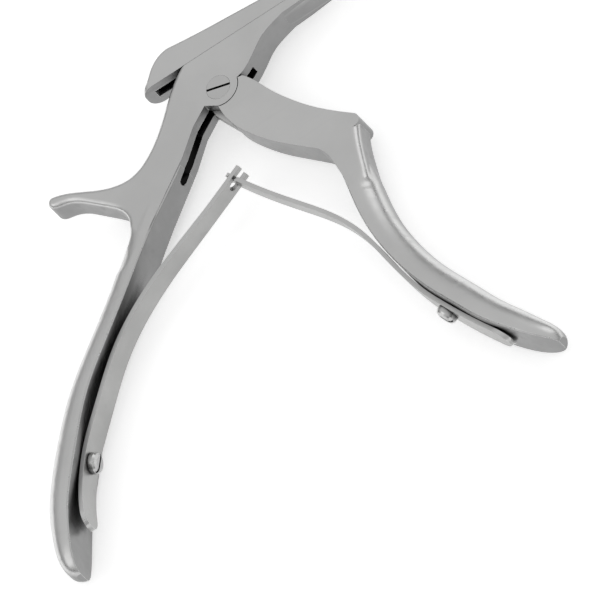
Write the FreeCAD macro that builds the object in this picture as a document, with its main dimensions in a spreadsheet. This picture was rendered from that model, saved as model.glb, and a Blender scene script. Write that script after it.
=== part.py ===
import FreeCAD, Part
import math
import os
import Sketcher
from FreeCAD import Placement, Rotation, Vector

# Sliding-shaft bone punch lying on its side: shaft along +X, handles towards -Y, thickness along Z.
# Every sub-part is drawn about the pivot screw and then moved to the row frame by its Placement.
SIZES = {
    "pivot_x": -56.6,
    "pivot_y": 40.7,
    "pivot_z": 5.75,
    "plate_thickness": 6.3,
    "seam_height": 9.2,
    "slide_gap": 0.05,
    "shaft_tip": 183.0,
    "shaft_width": 5.0,
    "shaft_depth": 2.3,
    "plate_end": 32.0,
    "shaft_start": 17.0,
    "slider_rise": 3.2,
    "slider_rounding": 1.2,
    "slider_tail_end": -14.7,
    "tail_edge_radius": 0.7,
    "tail_corner_radius": 2.6,
    "spur_tip_radius": 1.3,
    "spur_edge_radius": 1.0,
    "shoulder_edge_radius": 1.5,
    "tongue_thickness": 2.05,
    "tongue_slot": 2.15,
    "boss_radius": 4.25,
    "head_gap": 0.2,
    "swing_angle": 24.0,
    "drive_height": 11.6,
    "drive_pin_radius": 0.9,
    "fit_gap": 0.03,
    "notch_gap": 0.08,
    "pivot_head_radius": 2.6,
    "pivot_head_height": 1.7,
    "pivot_shank_radius": 1.6,
    "screw_slot_width": 0.5,
    "screw_slot_depth": 0.6,
    "jaw_end_gap": 0.3,
    "footplate_thickness": 1.5,
    "footplate_rise": 3.5,
    "cup_depth": 5.0,
    "rail_length": 8.0,
    "rail_front": 158.0,
    "rail_pitch": 118.0,
    "rail_stem_width": 1.5,
    "rail_head_width": 2.7,
    "rail_stem_height": 0.7,
    "rail_head_height": 0.8,
    "rail_gap": 0.06,
    "grip_width": 11.5,
    "grip_depth": 6.5,
    "leaf_thickness": 0.9,
    "leaf_gap": 0.2,
    "leaf_root_width": 6.0,
    "rear_leaf_tip_width": 4.2,
    "front_leaf_tip_width": 3.3,
    "hook_width": 2.7,
    "fork_slot_width": 2.1,
    "neck_width": 1.6,
    "spring_screw_head_radius": 2.2,
    "spring_screw_head_height": 1.6,
    "spring_screw_shank_radius": 1.2,
    "spring_screw_length": 4.0,
}

os.makedirs("parts", exist_ok=True)
doc = FreeCAD.newDocument("bone_punch")
sheet = doc.addObject("Spreadsheet::Sheet", "Sizes")
for row, (alias, value) in enumerate(SIZES.items(), start=1):
    sheet.set("A%d" % row, alias)
    sheet.set("B%d" % row, str(value))
    sheet.setAlias("B%d" % row, alias)
doc.recompute()


def size(alias):
    return float(sheet.get(alias))


def link(thing, field, expression):
    thing.setExpression(field, expression)


def new_body(label):
    body = doc.addObject("PartDesign::Body", label)
    body.Label = label
    for axis in "xyz":
        link(body, "Placement.Base." + axis, "Sizes.pivot_" + axis)
    return body


def new_sketch(body, name, role="XY_Plane", base=(0, 0, 0)):
    sketch = body.newObject("Sketcher::SketchObject", name)
    plane = [item for item in body.Origin.OriginFeatures if item.Role == role][0]
    sketch.AttachmentSupport = [(plane, "")]
    sketch.MapMode = "FlatFace"
    sketch.AttachmentOffset = Placement(Vector(*base), Rotation())
    return sketch


def flat(point):
    return Vector(point[0], point[1], 0)


def arc(middle, end):
    return ("arc", middle, end)


def trace(sketch, start, *steps):
    # A tuple is a straight line to that point, a list a smooth curve through its points.
    edges = []
    here = start
    for step in steps:
        if isinstance(step, list):
            curve = Part.BSplineCurve()
            curve.interpolate([flat(point) for point in [here] + step])
            edges.append(curve)
            here = step[-1]
        elif step[0] == "arc":
            edges.append(Part.Arc(flat(here), flat(step[1]), flat(step[2])))
            here = step[2]
        else:
            edges.append(Part.LineSegment(flat(here), flat(step)))
            here = step
    for edge in edges:
        index = sketch.addGeometry(edge, False)
        sketch.addConstraint(Sketcher.Constraint("Block", index))


def ring(sketch, centre, radius):
    index = sketch.addGeometry(Part.Circle(flat(centre), Vector(0, 0, 1), 1.0), False)
    constraint = sketch.addConstraint(Sketcher.Constraint("Radius", index, 1.0))
    link(sketch, "Constraints[%d]" % constraint, radius)
    sketch.addConstraint(Sketcher.Constraint("DistanceX", index, 3, centre[0]))
    sketch.addConstraint(Sketcher.Constraint("DistanceY", index, 3, centre[1]))


def box(sketch, low, high):
    corners = [low, (high[0], low[1]), high, (low[0], high[1])]
    trace(sketch, corners[0], corners[1], corners[2], corners[3], corners[0])


def pad(body, sketch, name, length, midplane=True, reverse=False):
    feature = body.newObject("PartDesign::Pad", name)
    feature.Profile = sketch
    feature.Midplane = midplane
    feature.Reversed = reverse
    link(feature, "Length", length)
    body.Tip = feature
    return feature


def pocket(body, sketch, name, length=None, midplane=False, reverse=False):
    feature = body.newObject("PartDesign::Pocket", name)
    feature.Profile = sketch
    feature.Midplane = midplane
    feature.Reversed = reverse
    if length is None:
        feature.Type = 1
    else:
        link(feature, "Length", length)
    body.Tip = feature
    return feature


def round_edges(body, base, name, radius, wanted):
    doc.recompute()
    picked = []
    for number, edge in enumerate(base.Shape.Edges, start=1):
        if wanted(edge):
            picked.append("Edge%d" % number)
    feature = body.newObject("PartDesign::Fillet", name)
    feature.Base = (base, picked)
    link(feature, "Radius", radius)
    body.Tip = feature
    return feature


def loft_grip(body, name, stations, side):
    # A station is inner point, heading in degrees, shares of depth and width, rounding share.
    sections = []
    for number, (x, y, heading, depth_share, width_share, round_share) in enumerate(stations):
        sketch = body.newObject("Sketcher::SketchObject", "%s_section_%d" % (name, number))
        sketch.Placement = section_place(x, y, heading, side)
        depth = depth_share * size("grip_depth")
        half = 0.5 * width_share * size("grip_width")
        bevel = 0.05 * depth
        outer = round_share * min(0.86 * depth, 0.94 * half)
        bend = outer * (1 - math.sqrt(0.5))
        trace(
            sketch,
            (0, half - bevel),
            (0, bevel - half),
            (bevel, -half),
            (depth - outer, -half),
            arc((depth - bend, bend - half), (depth, outer - half)),
            (depth, half - outer),
            arc((depth - bend, half - bend), (depth - outer, half)),
            (bevel, half),
            (0, half - bevel),
        )
        sections.append(sketch)
    loft = body.newObject("PartDesign::AdditiveLoft", name)
    loft.Profile = sections[0]
    loft.Sections = sections[1:]
    body.Tip = loft
    return loft


def section_place(x, y, heading, side):
    # Sketch x points to the outer side of the handle, sketch y along Z.
    angle = math.radians(heading)
    along = Vector(math.cos(angle), math.sin(angle), 0)
    outward = Vector(-side * along.y, side * along.x, 0)
    up = Vector(0, 0, 1)
    normal = outward.cross(up)
    return Placement(Vector(x, y, 0), Rotation(outward, up, normal, "XYZ"))


REAR_GRIP = [
    (-13.6, -11.1, 224.0, 0.74, 0.54, 0.60),
    (-18.6, -15.8, 224.0, 0.78, 0.62, 0.75),
    (-24.9, -21.6, 224.5, 0.82, 0.71, 0.85),
    (-32.9, -29.9, 225.5, 0.82, 0.78, 1.00),
    (-41.3, -38.4, 226.5, 0.84, 0.85, 1.00),
    (-49.5, -47.3, 231.0, 0.90, 0.92, 1.00),
    (-55.2, -55.9, 238.5, 0.96, 0.97, 1.00),
    (-58.5, -61.4, 239.5, 0.97, 0.99, 1.00),
    (-61.8, -67.3, 244.0, 0.91, 0.98, 1.00),
    (-64.2, -73.2, 250.0, 0.79, 0.92, 1.00),
    (-65.8, -77.8, 255.0, 0.62, 0.78, 1.00),
    (-66.5, -80.4, 257.0, 0.42, 0.55, 1.00),
    (-66.7, -81.5, 257.0, 0.20, 0.26, 1.00),
]
FRONT_GRIP = [
    (14.9, -30.2, -86.0, 0.78, 0.61, 0.60),
    (15.1, -35.0, -89.0, 0.84, 0.69, 0.85),
    (15.0, -41.5, -91.0, 0.87, 0.78, 1.00),
    (15.2, -49.0, -86.0, 0.86, 0.84, 1.00),
    (16.5, -57.5, -79.0, 0.88, 0.89, 1.00),
    (18.9, -65.8, -72.0, 0.91, 0.94, 1.00),
    (21.3, -71.7, -64.0, 0.94, 0.97, 1.00),
    (24.1, -77.2, -62.0, 0.93, 0.99, 1.00),
    (27.2, -83.1, -59.0, 0.91, 0.98, 1.00),
    (31.1, -88.7, -54.0, 0.85, 0.91, 1.00),
    (35.1, -93.3, -49.0, 0.70, 0.77, 1.00),
    (37.9, -95.8, -46.0, 0.50, 0.56, 1.00),
    (39.3, -96.9, -45.0, 0.26, 0.28, 1.00),
]
REAR_LEAF = [
    (-61.4, -72.4),
    (-59.4, -65.3),
    (-57.57, -61.45),
    (-56.02, -58.88),
    (-54.48, -56.31),
    (-50.3, -50.95),
    (-44.6, -43.9),
    (-40.6, -39.6),
    (-32.9, -33.5),
    (-23.9, -28.4),
    (-14.4, -23.9),
    (-9.2, -21.35),
    (-3.35, -18.35),
]
FRONT_LEAF = [
    (30.5, -89.6),
    (26.9, -83.7),
    (23.48, -77.57),
    (22.12, -74.9),
    (20.76, -72.23),
    (18.25, -66.05),
    (15.8, -57.8),
    (13.2, -48.6),
    (9.6, -41.2),
    (3.9, -33.2),
    (-1.9, -25.1),
    (-4.3, -21.4),
    (-6.35, -18.0),
]
REAR_SCREW = (-56.58, -58.55, 239.0)
FRONT_SCREW = (22.7, -74.6, -63.0)
# Share of the plate's half thickness along Y, from the flat plate down to the thicker grips.
REAR_TAPER = [(0.0, 1.0), (-10.0, 1.08), (-20.0, 1.26), (-30.0, 1.41), (-42.0, 1.57)]
FRONT_TAPER = [(-16.0, 1.0), (-23.0, 1.03), (-30.0, 1.15), (-36.0, 1.29), (-42.0, 1.43)]


def polar(radius, degrees, centre=(0, 0)):
    angle = math.radians(degrees)
    return (centre[0] + radius * math.cos(angle), centre[1] + radius * math.sin(angle))


def leaned(right, up):
    # Point of the tongue, drawn upright and leaned back by half the swing.
    angle = math.radians(90 + 0.5 * size("swing_angle"))
    return (right * math.sin(angle) + up * math.cos(angle), up * math.sin(angle) - right * math.cos(angle))


def drive_point():
    lean = math.radians(0.5 * size("swing_angle"))
    return (-size("drive_height") * math.tan(lean), size("drive_height"))


def travel():
    return -2 * drive_point()[0]


def slider_front():
    return size("shaft_tip") - size("footplate_thickness") - size("jaw_end_gap") - travel()


def turn_point(point, degrees):
    angle = math.radians(degrees)
    across = point[0] * math.cos(angle) - point[1] * math.sin(angle)
    up = point[0] * math.sin(angle) + point[1] * math.cos(angle)
    return (across, up)


def tee(stem, head, low, middle, high):
    left = [(low, -stem), (middle, -stem), (middle, -head), (high, -head)]
    right = [(x, -y) for x, y in reversed(left)]
    return left + right


def face_place(x, y, heading, side, lift):
    # Sketch lies on the inner face of a handle, its normal towards the leaf spring.
    angle = math.radians(heading)
    along = Vector(math.cos(angle), math.sin(angle), 0)
    inward = Vector(side * along.y, -side * along.x, 0)
    across = inward.cross(along)
    return Placement(Vector(x, y, 0) + inward * lift, Rotation(along, across, inward, "XYZ"))


def screw_bore(body, name, place, side):
    sketch = body.newObject("Sketcher::SketchObject", name + "_outline")
    sketch.Placement = face_place(place[0], place[1], place[2], side, 0.5)
    ring(sketch, (0, 0), "Sizes.spring_screw_shank_radius + Sizes.fit_gap")
    return pocket(body, sketch, name, "Sizes.spring_screw_length + 0.8")


def repeat(body, feature, name, step):
    pattern = body.newObject("PartDesign::LinearPattern", name)
    pattern.Originals = [feature]
    axis = [item for item in body.Origin.OriginFeatures if item.Role == "X_Axis"][0]
    pattern.Direction = (axis, [""])
    pattern.Reversed = True
    pattern.Occurrences = 2
    link(pattern, "Length", step)
    body.Tip = pattern
    return pattern


def build_fixed_shaft():
    body = new_body("fixed_shaft_and_rear_handle")
    seam = size("seam_height")
    under = seam - size("shaft_depth")
    boss = size("boss_radius")
    tip = [polar(size("spur_tip_radius"), degrees, (-40.0, -1.5)) for degrees in (63, 108, 153, 190, 226)]
    top = [(-11.9, 2.6), (-18.0, -3.95), (-23.5, -6.8), (-31.5, -4.5)]
    web = [(-38.4, -3.4), (-36.2, -4.4), (-33.0, -7.4), (-30.1, -10.4), (-28.1, -13.3), (-27.7, -16.0), (-28.7, -18.8)]
    outline = new_sketch(body, "plate_outline")
    trace(
        outline,
        (-5.7, seam),
        top + tip + web + [(-30.9, -21.3)],
        (-28.0, -24.0),
        (-25.0, -21.2),
        (-21.0, -17.7),
        (-12.35, -9.85),
        (-7.95, -4.95),
        (-4.1, -2.1),
        polar(boss, 250),
        arc(polar(boss, 300), polar(boss, 354)),
        [(5.9, 0.1), (7.45, 1.05), (9.8, 3.0), (12.2, 4.9), (15.2, 6.2), (18.0, under + 0.1)],
        (size("plate_end"), under + 0.8),
        (size("plate_end"), seam),
        (-5.7, seam),
    )
    pad(body, outline, "plate", "1.6 * Sizes.plate_thickness")
    faces = taper_faces(body, REAR_TAPER)
    round_edges(body, faces, "spur_rounding", "Sizes.spur_edge_radius", spur_edge)
    narrow_to_shaft(body)
    add_shaft(body, seam, under)
    loft_grip(body, "grip", REAR_GRIP, -1)
    slot_outline = new_sketch(body, "tongue_slot_outline")
    trace(
        slot_outline,
        (5.3, seam + 1),
        (-4.7, seam + 1),
        (-4.7, seam - 0.5),
        [(-8.2, 0.0), (-15.7, -13.2)],
        (-6.0, -20.0),
        (12.0, -8.0),
        (7.9, 0.3),
        (5.3, seam - 0.5),
        (5.3, seam + 1),
    )
    pocket(body, slot_outline, "tongue_slot", "Sizes.tongue_slot", midplane=True)
    add_pivot_bore(body)
    screw_bore(body, "spring_screw_bore", REAR_SCREW, -1)
    return body


def taper_faces(body, taper):
    # Planes the plate to its thickness and lets both faces spread towards the grip.
    half = 0.5 * size("plate_thickness")
    top = size("seam_height") + 8
    outline = new_sketch(body, "face_outline", "YZ_Plane")
    for sign in (half, -half):
        spread = [(y, sign * share) for y, share in taper]
        trace(outline, (top, sign), (4.0, sign), spread, (-42.0, 3 * sign), (top, 3 * sign), (top, sign))
    return pocket(body, outline, "faces", "400", midplane=True)


def narrow_to_shaft(body):
    # Plan view: both sides close in from the plate's thickness to the shaft's width.
    plate = 0.5 * size("plate_thickness")
    shaft = 0.5 * size("shaft_width")
    end = size("plate_end")
    outline = new_sketch(body, "shaft_flare_outline", "XZ_Plane")
    for sign in (1, -1):
        trace(
            outline,
            (end - 10, sign * plate),
            (end + 0.5, sign * shaft),
            (end + 0.5, sign * (plate + 2)),
            (end - 10, sign * (plate + 2)),
            (end - 10, sign * plate),
        )
    pocket(body, outline, "shaft_flare", "60", midplane=True)


def spur_edge(edge):
    # The long face edges from the plate round the spur and down to the grip.
    bounds = edge.BoundBox
    on_face = bounds.ZLength < 3.0 and abs(edge.CenterOfMass.z) > 3.0
    return on_face and bounds.XLength > 10.0 and bounds.XMin < -30.0


def add_shaft(body, seam, under):
    start = size("shaft_start")
    tip = size("shaft_tip")
    foot = size("footplate_thickness")
    section = new_sketch(body, "shaft_section", "YZ_Plane", (0, 0, tip - 3 * foot))
    rounded_bar(section, seam, under)
    pad(body, section, "shaft", "%f" % (tip - 3 * foot - start), midplane=False, reverse=True)
    add_footplate(body, seam, under)
    stem = 0.5 * size("rail_stem_width")
    head = 0.5 * size("rail_head_width")
    middle = seam + size("rail_stem_height")
    points = tee(stem, head, seam - 0.5, middle, middle + size("rail_head_height"))
    rail_outline = new_sketch(body, "rail_outline", "YZ_Plane", (0, 0, size("rail_front")))
    trace(rail_outline, points[0], *(points[1:] + points[:1]))
    rail = pad(body, rail_outline, "rail", "Sizes.rail_length", midplane=False, reverse=True)
    repeat(body, rail, "rail_pair", "Sizes.rail_pitch")


def add_footplate(body, seam, under):
    tip = size("shaft_tip")
    foot = size("footplate_thickness")
    top = seam + size("footplate_rise")
    outline = new_sketch(body, "footplate_outline")
    trace(
        outline,
        (tip - 3 * foot - 0.5, seam),
        (tip - foot, seam),
        (tip - foot, top),
        (tip - 0.55 * foot, top),
        [(tip - 0.05 * foot, seam + 0.4), (tip - 0.9 * foot, under + 0.7), (tip - 3 * foot, under)],
        (tip - 3 * foot - 0.5, under),
        (tip - 3 * foot - 0.5, seam),
    )
    pad(body, outline, "footplate", "Sizes.shaft_width")
    mask = new_sketch(body, "footplate_rounding_outline", "YZ_Plane", (0, 0, tip + 1))
    half = 0.5 * size("shaft_width")
    side = size("slider_rounding")
    bend = side * (1 - math.sqrt(0.5))
    for sign in (1, -1):
        for crown, way in ((top, 1), (under, -1)):
            trace(
                mask,
                (crown + 0.5 * way, sign * (half + 1)),
                (crown - way * side, sign * (half + 1)),
                (crown - way * side, sign * half),
                arc((crown - way * bend, sign * (half - bend)), (crown, sign * (half - side))),
                (crown + 0.5 * way, sign * (half - side)),
                (crown + 0.5 * way, sign * (half + 1)),
            )
    pocket(body, mask, "footplate_rounding", "3 * Sizes.footplate_thickness + 1")


def add_pivot_bore(body):
    lift = 0.5 * size("plate_thickness")
    shank = new_sketch(body, "pivot_bore_outline", base=(0, 0, lift))
    ring(shank, (0, 0), "Sizes.pivot_shank_radius + Sizes.fit_gap")
    pocket(body, shank, "pivot_bore")
    head = new_sketch(body, "pivot_counterbore_outline", base=(0, 0, lift))
    ring(head, (0, 0), "Sizes.pivot_head_radius + Sizes.fit_gap")
    pocket(body, head, "pivot_counterbore", "Sizes.pivot_head_height")


def build_front_handle():
    body = new_body("front_handle")
    reach = size("boss_radius") + size("head_gap")
    outline = new_sketch(body, "head_outline")
    trace(
        outline,
        polar(reach, 249),
        arc(polar(reach, 300), polar(reach, 352)),
        (5.4, -0.8),
        [(7.55, -4.1), (8.95, -7.0), (10.9, -10.4), (13.15, -13.75), (16.0, -17.35), (19.2, -20.75), (22.6, -24.0)],
        arc((22.95, -24.9), (22.4, -26.2)),
        [(21.35, -30.0), (20.6, -34.4), (19.8, -39.5)],
        (16.4, -39.5),
        [(15.0, -34.5), (14.5, -30.5), (13.0, -26.6)],
        [(9.7, -23.2), (5.3, -18.5), (2.1, -14.2), (-0.5, -9.4), (-1.4, -6.0), polar(reach, 249)],
    )
    pad(body, outline, "head", "1.6 * Sizes.plate_thickness")
    faces = taper_faces(body, FRONT_TAPER)
    round_edges(body, faces, "shoulder_rounding", "Sizes.shoulder_edge_radius", shoulder_edge)
    tongue_outline = new_sketch(body, "tongue_outline")
    half = size("drive_pin_radius") + 1.2
    trace(
        tongue_outline,
        leaned(-3.9, -1.0),
        leaned(-half, 9.6),
        leaned(-half, 12.2),
        leaned(0.5 - half, 12.7),
        leaned(half - 0.5, 12.7),
        leaned(half, 12.2),
        leaned(half, 9.6),
        leaned(3.8, 0.6),
        leaned(5.0, -4.6),
        (1.5, -9.4),
        (-0.5, -9.6),
        (-3.3, -4.1),
        leaned(-3.9, -1.0),
    )
    pad(body, tongue_outline, "tongue", "Sizes.tongue_thickness")
    loft_grip(body, "grip", FRONT_GRIP, 1)
    bore = new_sketch(body, "pivot_bore_outline", base=(0, 0, 0.5 * size("plate_thickness")))
    ring(bore, (0, 0), "Sizes.pivot_shank_radius + Sizes.fit_gap")
    pocket(body, bore, "pivot_bore")
    add_drive_notch(body)
    screw_bore(body, "spring_screw_bore", FRONT_SCREW, 1)
    return body


def shoulder_edge(edge):
    # Long face edges on the outer side of the front handle, below its shoulder.
    bounds = edge.BoundBox
    middle = edge.CenterOfMass
    face_edge = bounds.ZLength < 3.0 and abs(middle.z) > 3.0
    return face_edge and bounds.YLength > 8.0 and middle.x > 20.0 and middle.y < -30.0


def add_drive_notch(body):
    half = size("drive_pin_radius") + size("notch_gap")
    floor = size("drive_height")
    outline = new_sketch(body, "drive_notch_outline")
    trace(
        outline,
        leaned(-half, 14.0),
        leaned(-half, floor),
        arc(leaned(0, floor - half), leaned(half, floor)),
        leaned(half, 14.0),
        leaned(-half, 14.0),
    )
    pocket(body, outline, "drive_notch", "Sizes.tongue_slot", midplane=True)


def build_slider():
    body = new_body("sliding_shaft")
    low = size("seam_height") + size("slide_gap")
    top = size("seam_height") + size("slider_rise")
    front = slider_front()
    tail_end = size("slider_tail_end")
    tail = new_sketch(body, "tail_outline")
    trace(
        tail,
        (tail_end, low),
        (size("plate_end"), low),
        (size("plate_end"), top),
        [(26.0, top + 0.05), (20.5, top + 0.3), (13.5, top + 0.95), (1.7, top + 2.05), (-5.6, top + 3.0)],
        [(-7.5, top + 2.85), (-9.0, top + 2.25), (-11.1, top + 0.6), (-12.3, low + 2.3), (tail_end, low)],
    )
    block = pad(body, tail, "tail", "Sizes.plate_thickness")
    round_edges(body, block, "tail_rounding", "Sizes.tail_edge_radius", lambda edge: tail_edge(edge, low))
    round_tail_corners(body, tail_end)
    narrow_to_shaft(body)
    bar = new_sketch(body, "bar_section", "YZ_Plane", (0, 0, front))
    rounded_bar(bar, low, top)
    pad(body, bar, "bar", "%f" % (front - 20.0), midplane=False, reverse=True)
    slot = new_sketch(body, "tongue_slot_outline")
    trace(
        slot,
        (tail_end + 2.0, low - 0.5),
        [(-11.2, 10.9), (-9.7, 12.3), (-7.4, 13.3)],
        (1.8, 13.3),
        (1.8, low - 0.5),
        (tail_end + 2.0, low - 0.5),
    )
    pocket(body, slot, "tongue_slot", "Sizes.tongue_slot", midplane=True)
    add_pin_bore(body)
    add_rail_groove(body, low)
    add_cup(body, low, front)
    return body


def round_tail_corners(body, tail_end):
    half = 0.5 * size("plate_thickness")
    radius = size("tail_corner_radius")
    bend = radius * (1 - math.sqrt(0.5))
    corners = new_sketch(body, "tail_corner_outline", "XZ_Plane")
    for sign in (1, -1):
        trace(
            corners,
            (tail_end, sign * (half - radius)),
            arc((tail_end + bend, sign * (half - bend)), (tail_end + radius, sign * half)),
            (tail_end + radius, sign * (half + 2)),
            (tail_end - 2, sign * (half + 2)),
            (tail_end - 2, sign * (half - radius)),
            (tail_end, sign * (half - radius)),
        )
    pocket(body, corners, "tail_corners", "60", midplane=True)


def tail_edge(edge, low):
    bounds = edge.BoundBox
    side_edge = bounds.ZLength < 0.01 and bounds.XLength > 1.0
    return side_edge and bounds.YMax > low + 0.5


def rounded_bar(sketch, joint, crown):
    # Flat at the joint between the two shafts, rounded at the crown.
    half = 0.5 * size("shaft_width")
    radius = math.copysign(size("slider_rounding"), crown - joint)
    bend = radius * (1 - math.sqrt(0.5))
    side = abs(radius)
    trace(
        sketch,
        (joint, -half),
        (crown - radius, -half),
        arc((crown - bend, abs(bend) - half), (crown, side - half)),
        (crown, half - side),
        arc((crown - bend, half - abs(bend)), (crown - radius, half)),
        (joint, half),
        (joint, -half),
    )


def add_pin_bore(body):
    # The bore stays blind, so the near side of the tail is unbroken.
    outline = new_sketch(body, "drive_pin_bore_outline", base=(0, 0, -0.5 * size("plate_thickness")))
    ring(outline, drive_point(), "Sizes.drive_pin_radius + Sizes.fit_gap")
    pocket(body, outline, "drive_pin_bore", "Sizes.plate_thickness - 0.8", reverse=True)


def add_rail_groove(body, low):
    gap = size("rail_gap")
    stem = 0.5 * size("rail_stem_width") + gap
    head = 0.5 * size("rail_head_width") + gap
    middle = size("seam_height") + size("rail_stem_height") - gap
    high = middle + size("rail_head_height") + 2 * gap
    points = tee(stem, head, low - 0.5, middle, high)
    start = size("rail_front") + 0.4
    groove_outline = new_sketch(body, "groove_outline", "YZ_Plane", (0, 0, start))
    trace(groove_outline, points[0], *(points[1:] + points[:1]))
    length = size("rail_length") + travel() + 0.8
    groove = pocket(body, groove_outline, "groove", "%f" % length)
    repeat(body, groove, "groove_pair", "Sizes.rail_pitch")
    window_outline = new_sketch(body, "entry_outline", "YZ_Plane", (0, 0, start + size("rail_length") + 0.6))
    box(window_outline, (low - 0.5, -head), (high, head))
    window = pocket(body, window_outline, "entry", "Sizes.rail_length + 0.8")
    repeat(body, window, "entry_pair", "Sizes.rail_pitch")


def add_cup(body, low, front):
    half = 0.5 * size("shaft_width") - 0.8
    outline = new_sketch(body, "cup_outline", "YZ_Plane", (0, 0, front))
    floor = low + 0.5
    roof = low + size("slider_rise") - 0.7
    trace(
        outline,
        (floor, -half),
        (roof - 0.7, -half),
        arc((roof - 0.2, 0.2 - half), (roof, 0.7 - half)),
        (roof, half - 0.7),
        arc((roof - 0.2, half - 0.2), (roof - 0.7, half)),
        (floor, half),
        (floor, -half),
    )
    pocket(body, outline, "cup", "Sizes.cup_depth")


def build_drive_pin():
    body = new_body("drive_pin")
    outline = new_sketch(body, "pin_outline", base=(0, 0, -0.5 * size("plate_thickness")))
    ring(outline, drive_point(), "Sizes.drive_pin_radius")
    pad(body, outline, "pin", "Sizes.plate_thickness - 0.9", midplane=False)
    return body


def build_pivot_screw():
    body = new_body("pivot_screw")
    top = 0.5 * size("plate_thickness")
    shoulder = top - size("pivot_head_height")
    head = size("pivot_head_radius")
    shank = size("pivot_shank_radius")
    profile = new_sketch(body, "screw_profile", "XZ_Plane")
    trace(
        profile,
        (0, top),
        (head, top),
        (head, shoulder),
        (shank, shoulder),
        (shank, -top),
        (0, -top),
        (0, top),
    )
    turn_profile(body, profile, "screw")
    slot = new_sketch(body, "driver_slot_outline", base=(0, 0, top))
    half = 0.5 * size("screw_slot_width")
    corners = [(-3.0, -half), (3.0, -half), (3.0, half), (-3.0, half)]
    turned = [turn_point(point, -17.4) for point in corners]
    trace(slot, turned[0], turned[1], turned[2], turned[3], turned[0])
    pocket(body, slot, "driver_slot", "Sizes.screw_slot_depth")
    return body


def turn_profile(body, profile, name):
    feature = body.newObject("PartDesign::Revolution", name)
    feature.Profile = profile
    feature.ReferenceAxis = (profile, ["V_Axis"])
    feature.Angle = 360
    body.Tip = feature
    return feature


def build_spring_screw(label, place, side):
    body = new_body(label)
    seat = size("leaf_gap") + size("leaf_thickness") + 0.05
    rise = size("spring_screw_head_height")
    head = size("spring_screw_head_radius")
    shank = size("spring_screw_shank_radius")
    profile = body.newObject("Sketcher::SketchObject", "screw_profile")
    profile.Placement = screw_profile_place(place, side)
    trace(
        profile,
        (0, -size("spring_screw_length")),
        (shank, -size("spring_screw_length")),
        (shank, seat),
        (head, seat),
        (head, seat + 0.55 * rise),
        (0.88 * head, seat + 0.85 * rise),
        (0.62 * head, seat + rise),
        (0, seat + rise),
        (0, -size("spring_screw_length")),
    )
    turn_profile(body, profile, "screw")
    slot = body.newObject("Sketcher::SketchObject", "driver_slot_outline")
    slot.Placement = face_place(place[0], place[1], place[2], side, seat + rise)
    half = 0.5 * size("screw_slot_width")
    box(slot, (-3.0, -half), (3.0, half))
    pocket(body, slot, "driver_slot", "Sizes.screw_slot_depth")
    return body


def screw_profile_place(place, side):
    angle = math.radians(place[2])
    along = Vector(math.cos(angle), math.sin(angle), 0)
    inward = Vector(side * along.y, -side * along.x, 0)
    return Placement(Vector(place[0], place[1], 0), Rotation(along, inward, along.cross(inward), "XYZ"))


def leaf_strip(body, points):
    # Both faces of the leaf run half a thickness from its middle line.
    middle = Part.BSplineCurve()
    middle.interpolate([flat(point) for point in points])
    half = 0.5 * size("leaf_thickness")
    left = []
    right = []
    steps = 14
    for step in range(steps + 1):
        at = middle.FirstParameter + (middle.LastParameter - middle.FirstParameter) * step / steps
        point = middle.value(at)
        way = middle.tangent(at)[0]
        left.append((point.x - half * way.y, point.y + half * way.x))
        right.append((point.x + half * way.y, point.y - half * way.x))
    right.reverse()
    outline = new_sketch(body, "leaf_outline")
    trace(outline, left[0], left[1:], right[0], right[1:], left[0])
    return pad(body, outline, "leaf", "Sizes.leaf_root_width")


def round_leaf_end(body, low):
    # Half-round lower end, seen along X.
    root = 0.5 * size("leaf_root_width")
    outline = new_sketch(body, "end_outline", "YZ_Plane")
    for sign in (1, -1):
        trace(
            outline,
            (low + root, sign * root),
            arc((low + 0.29 * root, sign * 0.71 * root), (low, 0)),
            (low - 4, 0),
            (low - 4, sign * (root + 2)),
            (low + root, sign * (root + 2)),
            (low + root, sign * root),
        )
    pocket(body, outline, "rounded_end", "300", midplane=True)


def leaf_hole(body, place, side):
    sketch = body.newObject("Sketcher::SketchObject", "screw_hole_outline")
    sketch.Placement = face_place(place[0], place[1], place[2], side, 3.0)
    ring(sketch, (0, 0), "Sizes.spring_screw_shank_radius + 0.1")
    return pocket(body, sketch, "screw_hole", "6")


def build_rear_leaf():
    body = new_body("rear_leaf_spring")
    leaf_strip(body, REAR_LEAF)
    root = 0.5 * size("leaf_root_width")
    tip = 0.5 * size("rear_leaf_tip_width")
    for name, sign in (("near_taper", 1), ("far_taper", -1)):
        side_cut = new_sketch(body, name + "_outline", "XZ_Plane")
        trace(
            side_cut,
            (-70.0, sign * (root + 2.0)),
            (0.0, sign * (root + 2.0)),
            (0.0, sign * tip),
            (-12.0, sign * tip),
            (-52.0, sign * root),
            (-70.0, sign * (root + 0.1)),
            (-70.0, sign * (root + 2.0)),
        )
        pocket(body, side_cut, name, "200", midplane=True)
    slot = 0.5 * size("fork_slot_width")
    fork = new_sketch(body, "fork_slot_outline", "XZ_Plane")
    trace(fork, (0.0, -slot), (-6.2, -slot), arc((-7.3, 0.0), (-6.2, slot)), (0.0, slot), (0.0, -slot))
    pocket(body, fork, "fork_slot", "200", midplane=True)
    round_leaf_end(body, REAR_LEAF[0][1])
    leaf_hole(body, REAR_SCREW, -1)
    return body


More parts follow.
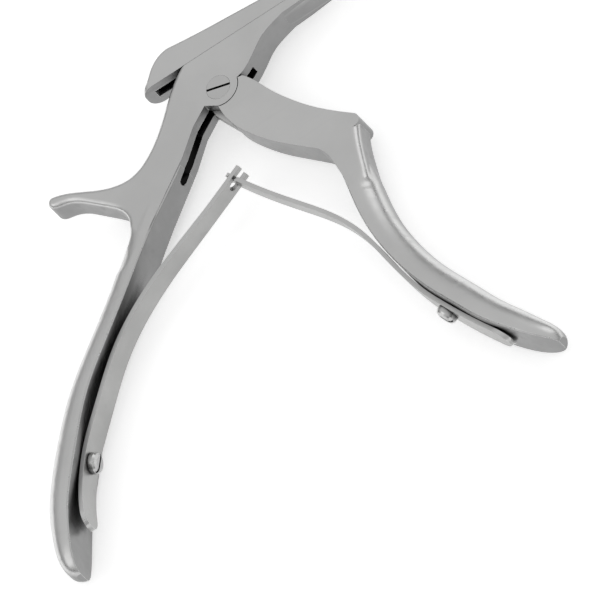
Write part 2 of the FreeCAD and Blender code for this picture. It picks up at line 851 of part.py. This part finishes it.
def build_front_leaf():
    body = new_body("front_leaf_spring")
    leaf_strip(body, FRONT_LEAF)
    root = 0.5 * size("leaf_root_width")
    tip = 0.5 * size("front_leaf_tip_width")
    hook = 0.5 * size("hook_width")
    neck = 0.5 * size("neck_width")
    for name, sign in (("near_taper", 1), ("far_taper", -1)):
        side_cut = new_sketch(body, name + "_outline", "YZ_Plane")
        trace(
            side_cut,
            (-95.0, sign * (root + 2.0)),
            (-10.0, sign * (root + 2.0)),
            (-10.0, sign * hook),
            (-18.5, sign * hook),
            (-18.5, sign * neck),
            (-20.3, sign * neck),
            (-20.3, sign * tip),
            (-44.0, sign * tip),
            (-82.0, sign * root),
            (-95.0, sign * (root + 0.1)),
            (-95.0, sign * (root + 2.0)),
        )
        pocket(body, side_cut, name, "200", midplane=True)
    round_leaf_end(body, FRONT_LEAF[0][1])
    leaf_hole(body, FRONT_SCREW, 1)
    return body


def build_all():
    bodies = [
        build_fixed_shaft(),
        build_front_handle(),
        build_slider(),
        build_drive_pin(),
        build_pivot_screw(),
        build_rear_leaf(),
        build_front_leaf(),
        build_spring_screw("rear_spring_screw", REAR_SCREW, -1),
        build_spring_screw("front_spring_screw", FRONT_SCREW, 1),
    ]
    doc.recompute()
    return bodies


def check_and_write(bodies):
    for body in bodies:
        for item in body.Group:
            if "Invalid" in item.State or "Error" in item.State:
                raise RuntimeError("%s: %s failed" % (body.Label, item.Name))
        shape = body.Shape
        if shape.isNull() or not shape.isValid() or len(shape.Solids) != 1:
            raise RuntimeError("%s: not one valid solid" % body.Label)
        shape.exportStep("parts/%s.step" % body.Label)


check_and_write(build_all())
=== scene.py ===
import math

import bmesh
import bpy
from mathutils import Matrix, Vector
from mathutils.bvhtree import BVHTree
from mathutils.geometry import barycentric_transform


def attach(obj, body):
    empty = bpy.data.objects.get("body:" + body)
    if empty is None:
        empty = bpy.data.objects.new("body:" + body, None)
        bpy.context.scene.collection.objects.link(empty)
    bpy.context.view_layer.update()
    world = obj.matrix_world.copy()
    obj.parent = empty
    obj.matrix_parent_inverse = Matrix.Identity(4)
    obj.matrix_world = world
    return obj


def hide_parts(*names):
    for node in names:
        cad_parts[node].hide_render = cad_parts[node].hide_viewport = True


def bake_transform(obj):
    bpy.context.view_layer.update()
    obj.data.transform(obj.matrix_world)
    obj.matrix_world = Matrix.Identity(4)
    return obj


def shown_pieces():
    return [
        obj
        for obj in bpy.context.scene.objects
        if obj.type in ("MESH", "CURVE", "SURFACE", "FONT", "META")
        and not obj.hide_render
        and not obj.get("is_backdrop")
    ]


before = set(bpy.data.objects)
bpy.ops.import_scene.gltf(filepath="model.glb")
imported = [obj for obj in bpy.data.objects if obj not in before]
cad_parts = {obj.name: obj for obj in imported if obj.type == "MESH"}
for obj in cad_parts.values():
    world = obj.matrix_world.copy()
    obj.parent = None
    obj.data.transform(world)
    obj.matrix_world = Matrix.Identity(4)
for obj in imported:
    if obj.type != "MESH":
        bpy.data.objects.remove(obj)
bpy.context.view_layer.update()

# Camera axes in the row frame and the point it looks at, in metres.
RIGHT = Vector((0.828, -0.342, -0.444)).normalized()
UP = Vector((0.533, 0.725, 0.436)).normalized()
BACK = RIGHT.cross(UP).normalized()
PIVOT_TOP = Vector((-0.0566, 0.0407, 0.0089))
MIDDLE_Z = 0.00575
FRAME_WIDTH = 0.1181
DISTANCE = 4.0

# The lowest grey of the painted shade in a shut recess, and what the painted shade of recesses and of
# deep slots reflects.
SHUT_SHADE = 0.03
RECESS_SHADE_BLACK = (0.02, 0.02, 0.02)
SLOT_SHADE_BLACK = (0.012, 0.012, 0.012)
RUBBED_STEEL = (0.80, 0.80, 0.795)
BUMP_HEIGHT = 0.000006

# Metres, apart from the recess over the screw's head, which is in millimetres like at().
TONGUE_SLOT_RADIUS = 0.00112
DRIVER_SLOT_TILT = math.radians(17.4)
HEAD_RECESS_RADIUS = 2.64
LONGEST_EDGE = 0.0009

FLOOR_REACH = 3.0
FLOOR_DROP = 0.0004
FLOOR_GLOW = 0.55


def node(tree, kind, **values):
    made = tree.nodes.new(kind)
    for key, value in values.items():
        setattr(made, key, value)
    return made


def join(tree, source, output, target, entry):
    tree.links.new(source.outputs[output], target.inputs[entry])


def new_material(name):
    material = bpy.data.materials.new(name)
    material.use_nodes = True
    material.node_tree.nodes.clear()
    return material, material.node_tree


def noise(tree, coords, scale, stretch, detail=4.0, roughness=0.55):
    mapping = node(tree, "ShaderNodeMapping")
    mapping.inputs["Scale"].default_value = stretch
    join(tree, coords, "Object", mapping, "Vector")
    texture = node(tree, "ShaderNodeTexNoise")
    texture.inputs["Scale"].default_value = scale
    texture.inputs["Detail"].default_value = detail
    texture.inputs["Roughness"].default_value = roughness
    join(tree, mapping, "Vector", texture, "Vector")
    return texture


def ramp(tree, source, output, low, high, to_low, to_high):
    made = node(tree, "ShaderNodeMapRange", interpolation_type="SMOOTHSTEP")
    made.inputs["From Min"].default_value = low
    made.inputs["From Max"].default_value = high
    made.inputs["To Min"].default_value = to_low
    made.inputs["To Max"].default_value = to_high
    join(tree, source, output, made, "Value")
    return made


def math_node(tree, operation, first, second):
    made = node(tree, "ShaderNodeMath", operation=operation)
    for entry, value in enumerate((first, second)):
        if isinstance(value, (int, float)):
            made.inputs[entry].default_value = value
        else:
            join(tree, value[0], value[1], made, entry)
    return made


def mix_colour(tree, factor, output, low, high):
    made = node(tree, "ShaderNodeMix", data_type="RGBA")
    join(tree, factor, output, made, "Factor")
    for entry, value in (("A", low), ("B", high)):
        if isinstance(value, tuple):
            made.inputs[entry].default_value = (*value, 1.0)
        else:
            join(tree, value, "Result", made, entry)
    return made


def recess_shade(tree, reach, shut, clear):
    # Painted shade: the colour darkens in slots and narrow gaps, where light is lost.
    shade = node(tree, "ShaderNodeAmbientOcclusion", samples=8)
    shade.inputs["Distance"].default_value = reach
    return ramp(tree, shade, "AO", shut, clear, SHUT_SHADE, 1.0)


def edge_wear(tree, geometry, soft):
    # Bright where a sharp edge has been rubbed.
    facing = node(tree, "ShaderNodeVectorMath", operation="DOT_PRODUCT")
    join(tree, geometry, "Normal", facing, 0)
    join(tree, soft, "Normal", facing, 1)
    return ramp(tree, facing, "Value", 0.93, 0.995, 1.0, 0.0)


def steel(name, flat, wall, satin, polish, grain, stretch, recess, edge):
    # Flats and walls are satin, and the rounded edges between them are polished.
    material, tree = new_material(name)
    coords = node(tree, "ShaderNodeTexCoord")
    shader = node(tree, "ShaderNodeBsdfPrincipled")
    shader.inputs["Metallic"].default_value = 1.0
    output = node(tree, "ShaderNodeOutputMaterial")
    join(tree, shader, "BSDF", output, "Surface")

    geometry = node(tree, "ShaderNodeNewGeometry")
    parts = node(tree, "ShaderNodeSeparateXYZ")
    join(tree, geometry, "Normal", parts, "Vector")
    upright = math_node(tree, "ABSOLUTE", (parts, "Z"), 0.0)
    is_flat = ramp(tree, upright, "Value", 0.70, 0.98, 0.0, 1.0)
    is_wall = ramp(tree, upright, "Value", 0.04, 0.62, 1.0, 0.0)
    is_ground = math_node(tree, "MAXIMUM", (is_flat, "Result"), (is_wall, "Result"))
    soft = node(tree, "ShaderNodeBevel", samples=4)
    soft.inputs["Radius"].default_value = edge
    rubbed = edge_wear(tree, geometry, soft)

    cloud = noise(tree, coords, 70.0, (1.0, 1.0, 1.0))
    streak = noise(tree, coords, 600.0, stretch, detail=3.0)
    speck = noise(tree, coords, 5200.0, (1.0, 1.0, 1.0), detail=2.0)
    scratch = noise(tree, coords, 420.0, (0.06, 1.6, 1.0), detail=1.0)
    cloudy = ramp(tree, cloud, "Fac", 0.30, 0.70, 0.0, 1.0)
    pale = mix_colour(tree, cloudy, "Result", tuple(0.94 * value for value in flat), flat)
    # Painted shade: walls, which face sideways, take a darker colour than flats.
    deep = mix_colour(tree, cloudy, "Result", tuple(0.86 * value for value in wall), wall)
    painted_facing_tone = mix_colour(tree, is_wall, "Result", pale, deep)
    worn = mix_colour(tree, rubbed, "Result", painted_facing_tone, RUBBED_STEEL)
    # Painted shade: recesses are painted towards near black.
    recess_shaded = mix_colour(tree, recess_shade(tree, *recess), "Result", RECESS_SHADE_BLACK, worn)
    # Painted shade: faces marked in_slot are painted near black.
    hollow = node(tree, "ShaderNodeAttribute", attribute_name="in_slot")
    shaded = mix_colour(tree, hollow, "Fac", recess_shaded, SLOT_SHADE_BLACK)
    join(tree, shaded, "Result", shader, "Base Color")

    level = math_node(tree, "MULTIPLY_ADD", (is_ground, "Value"), satin - polish)
    level.inputs[2].default_value = polish
    wear = ramp(tree, streak, "Fac", 0.3, 0.7, -0.03, 0.03)
    hair = ramp(tree, scratch, "Fac", 0.66, 0.72, 0.0, 0.08)
    rough = math_node(tree, "ADD", (level, "Value"), (wear, "Result"))
    rough = math_node(tree, "ADD", (rough, "Value"), (hair, "Result"))
    join(tree, rough, "Value", shader, "Roughness")

    height = math_node(tree, "ADD", (streak, "Fac"), (speck, "Fac"))
    bump = node(tree, "ShaderNodeBump")
    bump.inputs["Strength"].default_value = grain
    bump.inputs["Distance"].default_value = BUMP_HEIGHT
    join(tree, height, "Value", bump, "Height")
    join(tree, soft, "Normal", bump, "Normal")
    join(tree, bump, "Normal", shader, "Normal")
    return material


def dress():
    # A recess is the reach of its painted shade and the openness at which it is shut and at which it is
    # clear.
    # Each wall colour is darker than its flat colour as painted shade.
    looks = {
        "satin_steel": steel(
            "satin_steel",
            flat=(0.70, 0.70, 0.695),
            wall=(0.32, 0.32, 0.32),
            satin=0.36,
            polish=0.29,
            grain=0.15,
            stretch=(1.0, 1.0, 1.0),
            recess=(0.005, 0.28, 0.56),
            edge=0.00010,
        ),
        "spring_steel": steel(
            "spring_steel",
            flat=(0.68, 0.68, 0.675),
            wall=(0.43, 0.43, 0.425),
            satin=0.33,
            polish=0.29,
            grain=0.15,
            stretch=(1.0, 1.0, 6.0),
            recess=(0.003, 0.05, 0.30),
            edge=0.00008,
        ),
        "screw_steel": steel(
            "screw_steel",
            flat=(0.66, 0.66, 0.655),
            wall=(0.45, 0.45, 0.45),
            satin=0.32,
            polish=0.24,
            grain=0.15,
            stretch=(1.0, 1.0, 1.0),
            recess=(0.002, 0.45, 0.85),
            edge=0.00004,
        ),
    }
    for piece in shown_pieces():
        for slot in piece.material_slots:
            key = [name for name in looks if slot.material and slot.material.name.startswith(name)]
            slot.material = looks[key[0] if key else "satin_steel"]


def at(x, y, z=0.0):
    # Millimetres from the pivot, on the middle plane.
    return Vector((PIVOT_TOP.x + x / 1000, PIVOT_TOP.y + y / 1000, MIDDLE_Z + z / 1000))


def mesh_copy(node_name, name):
    # The same mesh with its seams welded, so that it bends as one skin.
    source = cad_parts[node_name]
    mesh = source.data.copy()
    mesh.name = name
    work = bmesh.new()
    work.from_mesh(mesh)
    bmesh.ops.remove_doubles(work, verts=work.verts, dist=1e-6)
    work.to_mesh(mesh)
    work.free()
    piece = bpy.data.objects.new(name, mesh)
    piece.matrix_world = source.matrix_world
    bpy.context.scene.collection.objects.link(piece)
    return piece


def carry_normals(piece, node_name):
    # Faces that still lie on the frame's mesh take its exact normals; new ones have their own.
    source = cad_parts[node_name].data
    source.calc_loop_triangles()
    places = [vertex.co.copy() for vertex in source.vertices]
    triangles = [tuple(triangle.vertices) for triangle in source.loop_triangles]
    loops = [tuple(triangle.loops) for triangle in source.loop_triangles]
    tree = BVHTree.FromPolygons(places, triangles)
    mesh = piece.data
    mesh.shade_smooth()
    mesh.set_sharp_from_angle(angle=math.radians(30.0))
    normals = [corner.vector.copy() for corner in mesh.corner_normals]
    for face in mesh.polygons:
        hits = tree.find_nearest_range(face.center, 2e-6)
        found = [hit for hit in hits if hit[1].dot(face.normal) > 0.99]
        if not found:
            continue
        number = min(found, key=lambda hit: hit[3])[2]
        corners = [places[index] for index in triangles[number]]
        ends = [source.corner_normals[index].vector for index in loops[number]]
        for loop in face.loop_indices:
            place = mesh.vertices[mesh.loops[loop].vertex_index].co
            aim = barycentric_transform(place, *corners, *ends)
            if aim.length > 0.5:
                normals[loop] = aim.normalized()
    mesh.normals_split_custom_set(normals)


def stand_in(piece, node_name):
    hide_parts(node_name)
    carry_normals(piece, node_name)


def near(vertex, ends, reach):
    # 1 along the middle of a line through the thickness, fading to 0 at its reach.
    spot = vertex.co.to_2d()
    first, last = ends[0].to_2d(), ends[1].to_2d()
    line = last - first
    share = min(1.0, max(0.0, (spot - first).dot(line) / line.length_squared))
    away = (spot - first - share * line).length
    left = min(1.0, max(0.0, 1.6 - 1.6 * away / reach))
    return left * left * (3.0 - 2.0 * left)


def refine(work, ends, reach, longest):
    for _ in range(4):
        inside = {vertex for vertex in work.verts if near(vertex, ends, reach) > 0.0}
        long_edges = [
            edge
            for edge in work.edges
            if edge.calc_length() > longest and (edge.verts[0] in inside or edge.verts[1] in inside)
        ]
        if not long_edges:
            return
        bmesh.ops.subdivide_edges(work, edges=long_edges, cuts=1, use_grid_fill=True)
        bmesh.ops.triangulate(work, faces=[face for face in work.faces if len(face.verts) > 3])


def blend_over(piece, ends, reach, rounds):
    # Hand polishing has softened the step from the rounded edge of the plate to that of the grip.
    work = bmesh.new()
    work.from_mesh(piece.data)
    refine(work, ends, reach, LONGEST_EDGE)
    shares = {vertex: near(vertex, ends, reach) for vertex in work.verts}
    moving = [vertex for vertex, share in shares.items() if share > 0.0]
    for _ in range(rounds):
        goals = []
        for vertex in moving:
            others = [edge.other_vert(vertex).co for edge in vertex.link_edges]
            goals.append(sum(others, Vector()) / len(others))
        for vertex, goal in zip(moving, goals):
            vertex.co += 0.5 * shares[vertex] * (goal - vertex.co)
    work.to_mesh(piece.data)
    work.free()


def prism(name, corners, axis):
    # Corners are points of one end; axis runs to the other end.
    mesh = bpy.data.meshes.new(name)
    work = bmesh.new()
    low = [work.verts.new(corner) for corner in corners]
    high = [work.verts.new(corner + axis) for corner in corners]
    count = len(corners)
    work.faces.new(low)
    work.faces.new(high)
    for index in range(count):
        follow = (index + 1) % count
        work.faces.new((low[index], low[follow], high[follow], high[index]))
    bmesh.ops.recalc_face_normals(work, faces=work.faces)
    work.to_mesh(mesh)
    work.free()
    made = bpy.data.objects.new(name, mesh)
    bpy.context.scene.collection.objects.link(made)
    return made


def cut(piece, cutter):
    change = piece.modifiers.new("cut", "BOOLEAN")
    change.operation = "DIFFERENCE"
    change.solver = "MANIFOLD"
    change.object = cutter
    bpy.context.view_layer.update()
    graph = bpy.context.evaluated_depsgraph_get()
    mesh = bpy.data.meshes.new_from_object(piece.evaluated_get(graph))
    piece.modifiers.remove(change)
    piece.data = mesh
    bpy.data.objects.remove(cutter)


def tongue_slot():
    # A milled slot with a round lower end, square to the inner face of the rear handle.
    top = at(-8.6, -5.7)
    end = at(-15.0, -12.4)
    along = (end - top).normalized()
    inward = Vector((along.y, -along.x, 0.0))
    return top, end, along, inward, TONGUE_SLOT_RADIUS


def tongue_slot_cutter():
    top, end, along, inward, radius = tongue_slot()
    corners = [top + radius * Vector((0, 0, 1))]
    for step in range(13):
        angle = math.radians(90.0 - 15.0 * step)
        corners.append(end + radius * (math.cos(angle) * along + math.sin(angle) * Vector((0, 0, 1))))
    corners.append(top - radius * Vector((0, 0, 1)))
    return prism("slot_cutter", [corner - 0.002 * inward for corner in corners], 0.0065 * inward)


def head_recess_cutter():
    # Opens the skin, about 0.03 mm thick, that the plate's taper leaves over half of the screw's head.
    corners = []
    for step in range(72):
        angle = math.radians(5.0 * step)
        x, y = HEAD_RECESS_RADIUS * math.cos(angle), HEAD_RECESS_RADIUS * math.sin(angle)
        corners.append(at(x, y, 2.85))
    return prism("recess_cutter", corners, Vector((0.0, 0.0, 0.0006)))


def in_tongue_slot(centre):
    top, end, along, inward, radius = tongue_slot()
    spot = centre - top
    down = spot.dot(along)
    past = down - min((end - top).length, max(0.0, down))
    return math.hypot(past, spot.z) < radius + 2e-5 and -0.001 < spot.dot(inward) < 0.0046


def in_driver_slot(centre):
    spot = centre - PIVOT_TOP
    across = spot.x * math.sin(DRIVER_SLOT_TILT) + spot.y * math.cos(DRIVER_SLOT_TILT)
    return abs(across) < 0.00026 and -0.00062 < spot.z < -0.00002


def mark_slot(piece, inside):
    # steel() paints the marked faces black as painted shade: these slots are deeper than they are wide.
    marks = piece.data.attributes.new("in_slot", "FLOAT", "FACE")
    for face, mark in zip(piece.data.polygons, marks.data):
        mark.value = 1.0 if inside(piece.matrix_world @ face.center) else 0.0


def make_bodies():
    screw = mesh_copy("pivot_screw", "pivot_head")
    mark_slot(screw, in_driver_slot)
    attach(screw, "fixed_frame")
    stand_in(screw, "pivot_screw")
    rear = mesh_copy("fixed_shaft_and_rear_handle", "rear_body")
    cut(rear, tongue_slot_cutter())
    cut(rear, head_recess_cutter())
    blend_over(rear, (at(-29.8, -20.2), at(-32.4, -23.0)), reach=0.0032, rounds=60)
    mark_slot(rear, in_tongue_slot)
    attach(rear, "fixed_frame")
    stand_in(rear, "fixed_shaft_and_rear_handle")
    front = mesh_copy("front_handle", "front_body")
    blend_over(front, (at(19.3, -38.9), at(19.0, -40.2)), reach=0.0018, rounds=14)
    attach(front, "squeeze_handle")
    stand_in(front, "front_handle")


def bend_leaves():
    rear = mesh_copy("rear_leaf_spring", "rear_leaf")
    stand_in(rear, "rear_leaf_spring")
    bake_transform(rear)
    front = mesh_copy("front_leaf_spring", "front_leaf")
    stand_in(front, "front_leaf_spring")
    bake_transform(front)


def add_floor():
    mesh = bpy.data.meshes.new("floor")
    corners = [(FLOOR_REACH * x, FLOOR_REACH * y, 0.0) for x, y in ((-1, -1), (1, -1), (1, 1), (-1, 1))]
    mesh.from_pydata(corners, [], [(0, 1, 2, 3)])
    floor = bpy.data.objects.new("floor", mesh)
    floor.location.z = -FLOOR_DROP
    bpy.context.scene.collection.objects.link(floor)
    material, tree = new_material("floor_paper")
    paper = node(tree, "ShaderNodeBsdfDiffuse")
    paper.inputs["Color"].default_value = (0.9, 0.9, 0.9, 1.0)
    glow = node(tree, "ShaderNodeEmission")
    rays = node(tree, "ShaderNodeLightPath")
    seen = math_node(tree, "MAXIMUM", (rays, "Is Camera Ray"), (rays, "Is Glossy Ray"))
    seen = math_node(tree, "MAXIMUM", (seen, "Value"), (rays, "Is Transmission Ray"))
    level = math_node(tree, "MULTIPLY", (seen, "Value"), FLOOR_GLOW)
    join(tree, level, "Value", glow, "Strength")
    both = node(tree, "ShaderNodeAddShader")
    join(tree, paper, "BSDF", both, 0)
    join(tree, glow, "Emission", both, 1)
    output = node(tree, "ShaderNodeOutputMaterial")
    join(tree, both, "Shader", output, "Surface")
    mesh.materials.append(material)
    floor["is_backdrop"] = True


def add_world():
    world = bpy.data.worlds.new("studio")
    world.use_nodes = True
    bpy.context.scene.world = world
    tree = world.node_tree
    tree.nodes.clear()
    coords = node(tree, "ShaderNodeTexCoord")
    parts = node(tree, "ShaderNodeSeparateXYZ")
    join(tree, coords, "Generated", parts, "Vector")
    height = ramp(tree, parts, "Z", 0.02, 0.62, 0.28, 0.80)
    back = node(tree, "ShaderNodeBackground")
    join(tree, height, "Result", back, "Strength")
    output = node(tree, "ShaderNodeOutputWorld")
    join(tree, back, "Background", output, "Surface")


def add_lamp(name, place, aim, wide, power):
    data = bpy.data.lights.new(name, "AREA")
    data.shape = "RECTANGLE"
    data.size = wide[0]
    data.size_y = wide[1]
    data.energy = power
    lamp = bpy.data.objects.new(name, data)
    lamp.location = place
    lamp.rotation_euler = (Vector(aim) - Vector(place)).to_track_quat("-Z", "Y").to_euler()
    bpy.context.scene.collection.objects.link(lamp)


def add_lamps():
    add_lamp("key", (-0.9, -0.1, 0.9), (0.0, 0.0, 0.0), (0.8, 1.0), 1.2)
    add_lamp("rim", (0.9, 0.7, 0.7), (0.0, 0.0, 0.0), (0.7, 0.9), 1.2)


def add_camera():
    data = bpy.data.cameras.new("camera")
    data.sensor_width = 36.0
    data.lens = 36.0 * DISTANCE / FRAME_WIDTH
    data.clip_end = 20.0
    camera = bpy.data.objects.new("camera", data)
    look = PIVOT_TOP + 0.01626 * RIGHT - 0.04201 * UP
    place = look + DISTANCE * BACK
    turn = Matrix((RIGHT, UP, BACK)).transposed().to_4x4()
    camera.matrix_world = Matrix.Translation(place) @ turn
    bpy.context.scene.collection.objects.link(camera)
    bpy.context.scene.camera = camera


add_world()
add_floor()
add_lamps()
make_bodies()
bend_leaves()
dress()
add_camera()
bpy.context.scene.view_settings.view_transform = "Standard"
